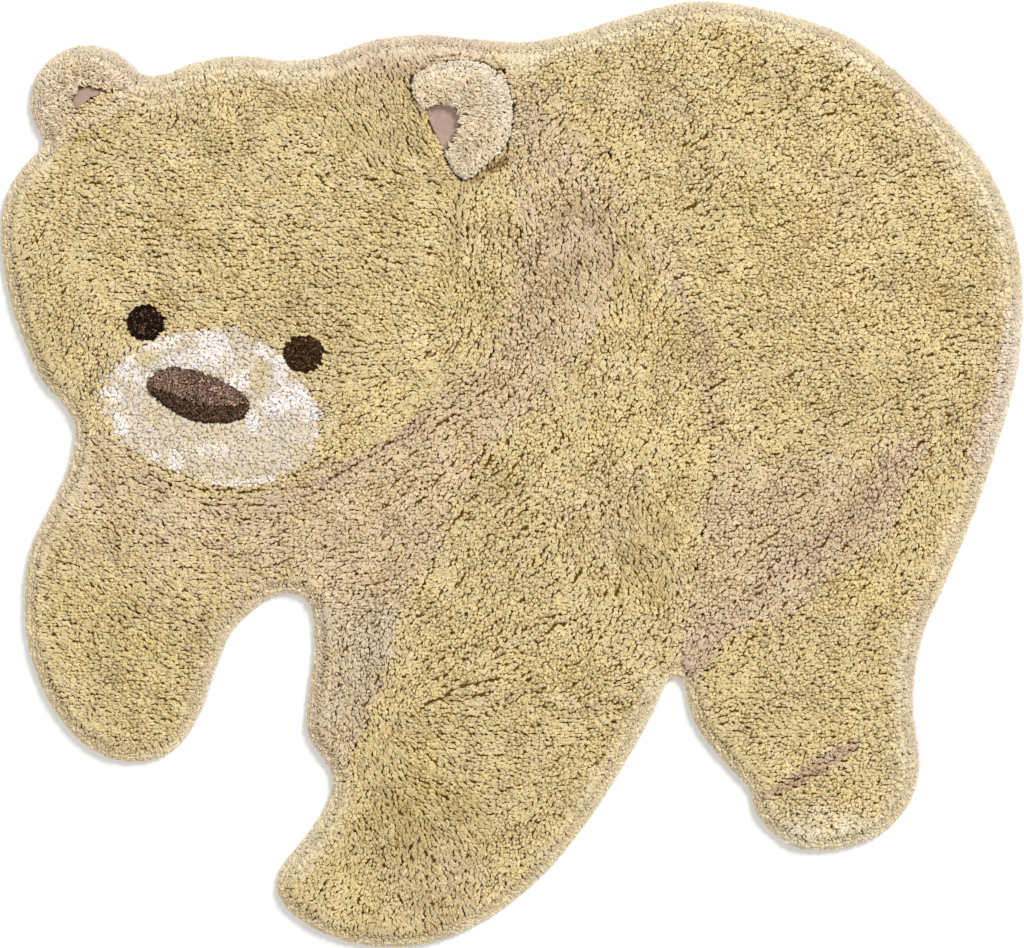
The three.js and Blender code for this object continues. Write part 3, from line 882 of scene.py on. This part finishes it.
# The muzzle's shades: middle, half width, half height and how much. They are white where no yarn is named.
muzzlePatches = table("x/mm y/mm wide/mm tall/mm share yarn", [
    (-376, 28, 80, 40, 0.35, "muzzleHoney"),
    (-450, 168, 26, 10, 0.9),
    (-382, 166, 22, 18, 0.9),
    (-405, 142, 45, 9, 0.7),
    (-484, 136, 13, 15, 0.95),
    (-508, 103, 13, 9, 0.95),
    (-463, 118, 16, 9, 0.8),
    (-494, 62, 9, 20, 0.9),
    (-344, 118, 13, 11, 0.9),
    (-312, 158, 14, 12, 0.9),
    (-293, 135, 9, 22, 0.9),
    (-276, 100, 24, 14, 0.95),
    (-300, 86, 17, 12, 0.9),
    (-255, 78, 16, 12, 0.7),
    (-326, 66, 7, 14, 0.9),
    (-425, 18, 9, 14, 0.8),
    (-450, 22, 7, 7, 0.8),
    (-380, 30, 20, 10, 0.5),
    (-370, -8, 30, 8, 0.9),
    (-315, -9, 20, 7, 0.9),
    (-243, 52, 6, 8, 0.8),
    (-463, 146, 13, 10, 0.9, "muzzleHoney"),
    (-440, 72, 30, 14, 0.55, "muzzleHoney"),
    (-318, 122, 10, 22, 0.8, "muzzleHoney"),
    (-376, -2, 60, 6, 0.5, "muzzleHoney"),
    (-262, 20, 14, 20, 0.6, "muzzleHoney"),
])

# Two areas whose tufts are mingled along their border, and how far the mingling reaches
mingled = [
    ("head", "neck", 0.010),
    ("neck", "far_foreleg", 0.10),
    ("neck", "near_foreleg", 0.010),
    ("neck", "inner_leg", 0.02),
    ("belly", "back", 0.030),
    ("belly", "near_foreleg", 0.012),
    ("belly", "hind_leg", 0.006),
    ("inner_leg", "near_foreleg", 0.006),
    ("tail", "back", 0.005),
    ("tail", "hind_leg", 0.010),
    ("ankle", "hind_leg", 0.003),
    ("muzzle", "head", 0.011),
]


def kindOf(name):
    return kinds[areas[name].get("kind", "combed")]


def aroundOf(name):
    return (earRim, rims["ear"]) if name == "near_ear_pile" else (rugRim, rims["rug"])


def plantingGrid(low, high, pitch, seed):
    # Even rows, each shifted by half a pitch, with a little disorder
    rng = np.random.default_rng(seed)
    margin = 2 * pitch
    rows = np.arange(low.y - margin, high.y + margin, pitch * math.sqrt(0.75))
    columns = np.arange(low.x - margin, high.x + margin, pitch)
    x, y = np.meshgrid(columns, rows)
    x = x + (np.arange(len(rows)) % 2)[:, None] * pitch / 2
    x = x.ravel() + rng.uniform(-1, 1, x.size) * pitch * pile["jitter"]
    y = y.ravel() + rng.uniform(-1, 1, y.size) * pitch * pile["jitter"]
    return x, y


def rimRows(name):
    # Places and heights of the rows of tufts that follow the rim, each shifted by half a place
    around, edge = aroundOf(name)
    mine = np.flatnonzero(around["owners"] == name)
    rng = np.random.default_rng(len(mine))
    spots = [np.zeros((0, 3))]
    for number, (inset, height) in enumerate(edge["rows"]):
        some = mine[number % 2 * 2 :: edging["apart"]]
        out = around["outwards"][some]
        sideways = leftOf(out) * rng.normal(0, edging["untidy"], (len(some), 1))
        inwards = inset + rng.uniform(0, edging["untidy"], (len(some), 1))
        uneven = rng.normal(0, edging["untidy"] * edging["uneven"], len(some))
        uneven = uneven.clip(-edging["most"], edging["most"])
        spots.append(np.column_stack([around["places"][some] - out * inwards + sideways, height + uneven]))
    return np.concatenate(spots)


def landOn(name, x, y):
    # Which points lie over a node, and how high it is there
    bm = solidCopy(name)
    tree = BVHTree.FromBMesh(bm)
    bm.free()
    low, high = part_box(name)
    near = np.flatnonzero((x > low.x) & (x < high.x) & (y > low.y) & (y < high.y))
    down = Vector((0, 0, -1))
    hits = [(i, tree.ray_cast(Vector((x[i], y[i], 0.1)), down)[0]) for i in near]
    hits = [(i, hit.z) for i, hit in hits if hit is not None and hit.z > pile["thinnest"]]
    return np.array([i for i, _ in hits], int), np.array([z for _, z in hits])


sharedGrid = plantingGrid(*cadBox, kinds["combed"]["pitch"], 3)
planted = {}
for name, area in areas.items():
    own = "kind" in area
    x, y = plantingGrid(*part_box(name), kindOf(name)["pitch"], len(planted) + 20) if own else sharedGrid
    chosen, z = landOn(name, x, y)
    x, y = x[chosen], y[chosen]
    around, edge = aroundOf(name)
    inside = nearest(around["tree"], x, y)[1] > edge["planting"]
    if name.endswith("ear_pile"):
        clear = pile["earClear"] if name == "far_ear_pile" else 0
        for way in [(0, 0), (clear, 0), (-clear, 0), (0, clear), (0, -clear)]:
            inside[landOn(name.replace("_pile", "_patch"), x + way[0], y + way[1])[0]] = False
    x, y, z = np.concatenate([np.column_stack([x, y, z])[inside], rimRows(name)]).T
    planted[name] = {"x": x, "y": y, "z": z, "row": np.arange(len(x)) >= inside.sum()}
print("tufts planted:", sum(len(p["x"]) for p in planted.values()))


shading = {
    "mingle": 0.5,  # share of the neighbour's tufts right at the border
    "mingleUneven": 0.12,
    "grain": 0.012,
    "tint": (0.4, 1.2),
    "tintUneven": 0.5,
    "ragged": 0.25,
    "patchEdge": (1.25, 0.4),
    "patch": (0.75, 1.1),
    # share of eye tufts painted lighter, as painted highlights on their tips
    "eyeHighlights": 0.24,
    "rimShade": 0.62,  # painted shade: eyes and nose are this much darker where other pile stands over them
    "rimClear": 0.003,
    "rimReach": 0.004,
    "light": 0.05,
    "warm": 0.03,
    "warmFleck": 0.02,
    "range": (0.3, 2.6),
    "cast": (0.3, -0.1, -1.6),  # what warmth does to red, green and blue
}


def tinge(base, yarn, share):
    return base + (np.array(yarns[yarn]) - base) * share[:, None].clip(0, 1)


def yarnColours(name, x, y, rng):
    # Each tuft's own colour: the area's yarn, a neighbour's where two areas mingle, and slow and fast drifts
    base = np.tile(np.array(yarns[areas[name]["yarn"]]), (len(x), 1))
    part = areas[name]["name"]
    for *pair, reach in mingled:
        if part in pair:
            pair.remove(part)
            other = pair[0] + "_pile"
            _, far = nearest(treeOf(planted[other]["x"], planted[other]["y"]), x, y)
            uneven = shading["mingleUneven"] * drift(x, y, shading["grain"], 5) * (far < reach)
            swap = rng.uniform(0, 1, len(x)) < shading["mingle"] * np.clip(1 - far / reach, 0, 1) + uneven
            base[swap] = yarns[areas[other]["yarn"]]
    if name in tinted:
        for tint in [row for row in tints if row.get("only", part) == part]:
            near = np.exp(-((farFrom(x, y, tint["way"]) / tint["reach"]) ** 2))
            uneven = 1 + shading["tintUneven"] * drift(x, y, shading["grain"], 37)
            share = near * tint["share"] * rng.uniform(*shading["tint"], len(x)) * uneven
            base = tinge(base, tint["yarn"], share)
    if name == "muzzle_pile":
        ragged = drifts(x, y, shading["ragged"], (0.006, 51), (0.012, 52))
        start, soft = shading["patchEdge"]
        for patch in muzzlePatches:
            off = np.hypot((x - patch["x"]) / patch["wide"], (y - patch["y"]) / patch["tall"]) + ragged
            share = smooth((start - off) / soft) * patch["share"] * rng.uniform(*shading["patch"], len(x))
            base = tinge(base, patch.get("yarn", "white"), share)
    # Painted highlights: some eye tufts take a lighter brown, for light on their tips
    if "eye" in name:
        base[rng.uniform(0, 1, len(x)) < shading["eyeHighlights"]] = yarns["eyeHighlight"]
    # Painted shade on eyes and nose where the pile around them stands over them
    if name.startswith("nose") or "eye" in name:
        others = [p for other, p in planted.items() if other != name and not other.startswith("nose")]
        tree = treeOf(np.concatenate([p["x"] for p in others]), np.concatenate([p["y"] for p in others]))
        far = nearest(tree, x, y)[1]
        clear = smooth((far - shading["rimClear"]) / shading["rimReach"])
        base = base * (shading["rimShade"] + (1 - shading["rimShade"]) * clear)[:, None]
    fleck = kindOf(name)["fleck"]
    light = np.exp(drifts(x, y, shading["light"], (0.06, 31), (0.018, 32)) + rng.normal(0, fleck, len(x)))
    warm = drifts(x, y, shading["warm"], (0.04, 33), (0.012, 34))
    warm = warm + rng.normal(0, shading["warmFleck"], len(x))
    return base * light[:, None].clip(*shading["range"]) * (1 + warm[:, None] * shading["cast"])


# How much paler the yarn is painted at the rim, towards the sun side and away from it, and how far in: a
# paler band all round, with painted highlight on the side towards the key light
rimPaleAndHighlight = {
    "toward": (0.45, 0.89),
    "pinker": (0.3, 0.9),
    "sunny": 0.66,
    "shady": 0.34,
    "uneven": (0.75, 1.2),
    "reach": 0.036,
    "falloff": 0.6,
    "calm": 0.3,
    "lift": 0.9,
    "fuller": 0.45,
}


def plantsOf(name, rng):
    # Root, bend and tip of every tuft of an area
    kind, spot = kindOf(name), planted[name]
    x, y, top = spot["x"], spot["y"], spot["z"]
    count = len(x)
    around, edge = aroundOf(name)
    index, far = nearest(around["tree"], x, y)
    away = around["outwards"][index]
    near = np.clip(1 - far / edge["reach"], 0, 1)
    fan = smooth(near)
    inner = 1 - fan
    width = kind["width"] * rng.uniform(0.85, 1.15, count)
    lean = rng.normal(0, 1, (count, 2)) * kind["stray"]
    layAngle, wide = combed(x, y)
    along = heading(layAngle)
    across = leftOf(along)
    ridge = combedDrift(x, y, pile["furrow"], 46)
    aside = across * pile["probe"]
    slope = combedDrift(x + aside[:, 0], y + aside[:, 1], pile["furrow"], 46)
    slope = slope - combedDrift(x - aside[:, 0], y - aside[:, 1], pile["furrow"], 46)
    gathered = slope / (2 * pile["probe"])
    rough = wide * (pile["rough"] + pile["rough"] * drift(x, y, 0.045, 47))
    rough = rough.clip(*pile["roughest"]) * inner * kind["comb"]
    laid = pile["lay"] * kind["comb"] * (1 + 0.5 * drift(x, y, 0.015, 45))
    lean += along * laid[:, None]
    lean += np.stack([drift(x, y, 0.03, 41), drift(x, y, 0.03, 42)], 1) * pile["sway"]
    lean *= inner[:, None]
    index, off = nearest(crackTree, x, y)
    row = crackRows[index]
    side = (x - row[:, 0]) * -row[:, 3] + (y - row[:, 1]) * row[:, 2]
    sign = np.where(side < 0, -1.0, 1.0)
    part = np.exp(-off / cracks["reach"]) * row[:, 4] * inner * kind["comb"]
    push = leftOf(row[:, 2:4]) * (sign * part * cracks["push"])[:, None]
    tip = np.stack([x, y, top], 1)
    gathered = (gathered * rough * pile["gather"]).clip(-pile["gathered"], pile["gathered"])
    tip[:, :2] += push + lean * pile["tipLean"] + across * gathered[:, None]
    if "kind" not in areas[name]:
        least = np.interp(far, shoulder["in"], shoulder["high"]) - pile["seam"]
        tip[:, 2] = np.where(spot["row"], top, np.maximum(top, least))
        deeper = rng.uniform(0, 1, count) < pile["sunk"] * (0.4 + 0.9 * wide)
        tip[:, 2] -= deeper * rng.uniform(*pile["depth"], count) * inner
    tip[:, 2] += ridge * rough * pile["ridge"]
    tip[:, 2] += rng.normal(0, pile["uneven"], count) * (1 - 0.4 * fan) - width * 0.2 * inner
    dip = np.exp(-((side / cracks["width"]) ** 2)) * (off < cracks["near"]) * row[:, 4]
    tip[:, 2] -= dip * cracks["dip"] * kind["comb"] * inner
    root = np.stack([x, y, edge["floor"] + (top - edge["floor"]) * 0.3], 1)
    root[:, :2] -= lean * pile["rootLean"] + away * (edge["hem"] * near**1.5)[:, None]
    flat, rise = pile["upright"]
    upright = root * [1, 1, 0] + (tip * [1, 1, 0] - root * [1, 1, 0]) * flat
    upright[:, 2] = root[:, 2] + (np.maximum(tip[:, 2], pile["bendFrom"]) - root[:, 2]) * rise
    arched = (root + tip) / 2
    arched[:, 2] += edging["arch"] * np.where(spot["row"] & (top < 0.004), 0, 1)
    bend = upright * inner[:, None] + arched * fan[:, None]
    shade = yarnColours(name, x, y, rng)
    # The rim is painted paler, most on the side towards the key light, where it is painted highlight over a
    # paler band
    sunny = smooth((away @ np.array(rimPaleAndHighlight["toward"])) * 0.6 + 0.5)
    strength = rimPaleAndHighlight["shady"] + (rimPaleAndHighlight["sunny"] - rimPaleAndHighlight["shady"]) * sunny
    inwards = far / (rimPaleAndHighlight["reach"] * (1 + 0.35 * drift(x, y, 0.05, 62)) * (0.6 + 0.8 * sunny))
    nearRim = smooth(1 - inwards)
    pale = (strength * nearRim * rng.uniform(*rimPaleAndHighlight["uneven"], count))[:, None].clip(0, 1)
    usual, differs = rimPaleAndHighlight["pinker"]
    pinker = (usual + differs * drift(x, y, 0.03, 61))[:, None].clip(0, 1)
    edgeShade = np.array(yarns["rimPale"]) * (1 - pinker) + np.array(yarns["rimPink"]) * pinker
    shade = shade * (1 - pale) + edgeShade * pale
    dim = 1 - edging["dim"] * np.where(spot["row"], 1, 0) * sunny
    light = dim * np.exp(rng.normal(0, 1, count) * edging["fleck"] * fan)
    shade = (shade * light[:, None]).clip(0.005, 0.98)
    # Near the rim the painted pores and the painted root shade are thinned out
    calm = nearRim ** rimPaleAndHighlight["falloff"]
    width = width * (1 + rimPaleAndHighlight["fuller"] * nearRim * kind["comb"])
    turn = rng.normal(0, kind["turn"], count)
    lie = heading(layAngle + turn) * inner[:, None]
    lie = unit(lie + away * np.sign((lie * away).sum(1) + 1e-9)[:, None] * fan[:, None] * 1.5)
    return {
        "root": root,
        "bend": bend,
        "tip": tip,
        "width": width,
        "yarn": np.column_stack([shade, 1 - (1 - rimPaleAndHighlight["calm"]) * calm]),
        "lift": rimPaleAndHighlight["lift"] * calm,
        "fan": fan,
        "across": np.stack([lie[:, 1], -lie[:, 0], np.zeros(count)], 1),
    }


def chosenPlants(plants, keep):
    return {key: value[keep] for key, value in plants.items()}


# Pale stitches over the ear's outer side and a few loose ends beside it: both ends, height, arch and width
earStitches = table("from to z arch width", [
    ((-0.0172, 0.4523), (-0.0012, 0.4523), 0.021, 0.008, 0.0034),
    ((-0.0147, 0.4457), (-0.0024, 0.4460), 0.021, 0.008, 0.0034),
    ((-0.0160, 0.4404), (-0.0020, 0.4400), 0.021, 0.008, 0.0030),
    ((-0.0185, 0.4235), (-0.0070, 0.4240), 0.021, 0.008, 0.0034),
    ((-0.0223, 0.4150), (-0.0085, 0.4165), 0.020, 0.008, 0.0034),
    ((-0.0248, 0.4030), (-0.0134, 0.4070), 0.019, 0.008, 0.0034),
    ((-0.0045, 0.4270), (0.0120, 0.4335), 0.018, 0.011, 0.0016),
    ((0.0006, 0.4155), (0.0158, 0.4180), 0.018, 0.011, 0.0016),
    ((-0.0010, 0.4330), (0.0070, 0.4270), 0.018, 0.011, 0.0014),
])
stitchShape = [(0.04, 0.9), (0.35, 1.0), (0.65, 1.0), (0.96, 0.9)]
stitching = {"sides": 5, "stretch": 0.8, "aside": 0.002, "pores": 0.4, "lift": 0.6}


def stitchPlants(stitches):
    root = np.array([(*s["from"], s["z"]) for s in stitches])
    tip = np.array([(*s["to"], s["z"]) for s in stitches])
    bend = (root + tip) / 2 + np.array([(0, stitching["aside"], s["arch"]) for s in stitches])
    run = unit(tip - root)
    return {
        "root": root,
        "bend": bend,
        "tip": tip,
        "width": np.array([s["width"] for s in stitches]),
        "yarn": np.tile([*yarns["stitch"], stitching["pores"]], (len(run), 1)),
        "lift": np.full(len(run), stitching["lift"]),
        "across": np.stack([run[:, 1], -run[:, 0], np.zeros(len(run))], 1),
    }


triangles, most = 0, 0
for number, (name, area) in enumerate(areas.items()):
    rng = np.random.default_rng(100 + number)
    plants = plantsOf(name, rng)
    kind = kindOf(name)
    atRim = plants["fan"] > 0.5
    inner, outer = chosenPlants(plants, ~atRim), chosenPlants(plants, atRim)
    groups = [growTufts(inner, pile["sides"], tuftShape, kind["stretch"], rng)]
    if len(outer["tip"]):
        outer["width"] = outer["width"] * edging["width"] / kind["width"]
        groups.append(growTufts(outer, pile["sides"], rimShape, edging["stretch"], rng))
    if name == "near_ear_pile":
        stitches = stitchPlants(earStitches)
        groups.append(growTufts(stitches, stitching["sides"], stitchShape, stitching["stretch"], rng))
    # The bed between the tufts is the yarn darkened by painted shade
    deep = bed["muzzle"] if name == "muzzle_pile" else bed["shade"]
    shade = [part * share for part, share in zip(yarns[area["yarn"]], deep)]
    mesh = joinPile(name + "_tufts", groups, bedMesh(name, aroundOf(name)[0]), shade)
    triangles += len(mesh.polygons)
    most = max(most, len(mesh.polygons))
    slot = area["slot"]
    addPiece(mesh, name.replace("_pile", "_tufts"), [name], pileMaterials[slot])
print("pile grown:", triangles, "triangles, at most", most, "in a piece")

earCloth = {
    "thread": 0.0013,
    "weft": 0.85,
    "turn": 0.6,
    "dark": srgb(150, 121, 107),
    "pale": srgb(198, 174, 159),
    "crown": 0.0012,
    "ripple": 0.0006,
    "weave": 0.003,
    "cuts": {"near_ear_patch": (0.0448, 0.0581), "far_ear_patch": (0.0435, 0.0290)},
}
canvas = {
    "thread": 0.0022,
    "weft": 1.0,
    "turn": 0.0,
    "dark": srgb(196, 182, 155),
    "pale": srgb(232, 222, 200),
    "cut": (1.273, 1.177),
    "area": 1.085,
}
clothInk = clothMaterial("earCloth", earCloth)
canvasInk = clothMaterial("groundCanvas", canvas)


def flatArea(bm):
    return sum(f.calc_area() for f in bm.faces if f.normal.z > 0.7)


def earPatch(name):
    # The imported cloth, cut fine enough to ripple a little and rise in its middle
    bm = solidCopy(name)
    low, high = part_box(name)
    for axis in (0, 1):
        normal = Vector((1, 0, 0)) if axis == 0 else Vector((0, 1, 0))
        for place in np.arange(low[axis] + earCloth["weave"], high[axis], earCloth["weave"]):
            parts = bm.verts[:] + bm.edges[:] + bm.faces[:]
            bmesh.ops.bisect_plane(bm, geom=parts, dist=1e-6, plane_co=normal * float(place), plane_no=normal)
    area = flatArea(bm)
    middle = (low + high) / 2
    wide, tall = (high.x - low.x) / 2, (high.y - low.y) / 2
    x, y = np.array([v.co.x for v in bm.verts]), np.array([v.co.y for v in bm.verts])
    off = ((x - middle.x) / wide) ** 2 + ((y - middle.y) / tall) ** 2
    lift = earCloth["crown"] * np.clip(1 - off, 0, 1) + earCloth["ripple"] * drift(x, y, 0.009, 71)
    for vert, rise in zip(bm.verts, lift):
        vert.co.z += rise
    cloth = name.replace("patch", "cloth")
    patch = addPiece(meshOf(bm, cloth), cloth, [name], clothInk)
    patch.data.shade_smooth()


for name in earCloth["cuts"]:
    earPatch(name)
backing = meshOf(solidCopy("ground_cloth"), "ground_canvas")
backing = addPiece(backing, "ground_canvas", ["ground_cloth"], canvasInk)
print("cloths made")

studio = {
    "floor": srgb(240, 239, 237),
    "key": {"at": (5.0, 5.5, 7.0), "size": 3.6, "power": 800},
    "fill": {"at": (-3.0, -2.0, 8.0), "size": 6.0, "power": 300},
    "sky": 0.40,
    "half": 30,  # of the floor
}


def areaLight(name, row):
    light = bpy.data.lights.new(name, "AREA")
    light.shape = "DISK"
    light.size = row["size"]
    light.energy = row["power"]
    lamp = placed(name, light)
    lamp.location = row["at"]
    lamp.rotation_euler = (-Vector(row["at"])).to_track_quat("-Z", "Y").to_euler()


areaLight("keyLight", studio["key"])
areaLight("fillLight", studio["fill"])
world = bpy.data.worlds.new("sky")
world.use_nodes = True
sky = world.node_tree.nodes["Background"].inputs
sky["Color"].default_value = (1, 1, 1, 1)
sky["Strength"].default_value = studio["sky"]
scene.world = world
scene.view_settings.view_transform = "Standard"

bm = bmesh.new()
bmesh.ops.create_grid(bm, x_segments=1, y_segments=1, size=studio["half"])
floor = placed("floor", meshOf(bm, "floor"))
floorGraph = Graph("floorPaint", Roughness=0.8)
spread = floorGraph.noise(floorGraph.add("TexCoord", {}, {}, "Object"), 3.0)
pale, paler = (*studio["floor"], 1), (*[c * 1.01 for c in studio["floor"]], 1)
floor.data.materials.append(floorGraph.feed(Base_Color=floorGraph.blend(spread, pale, paler)))
print("studio set")
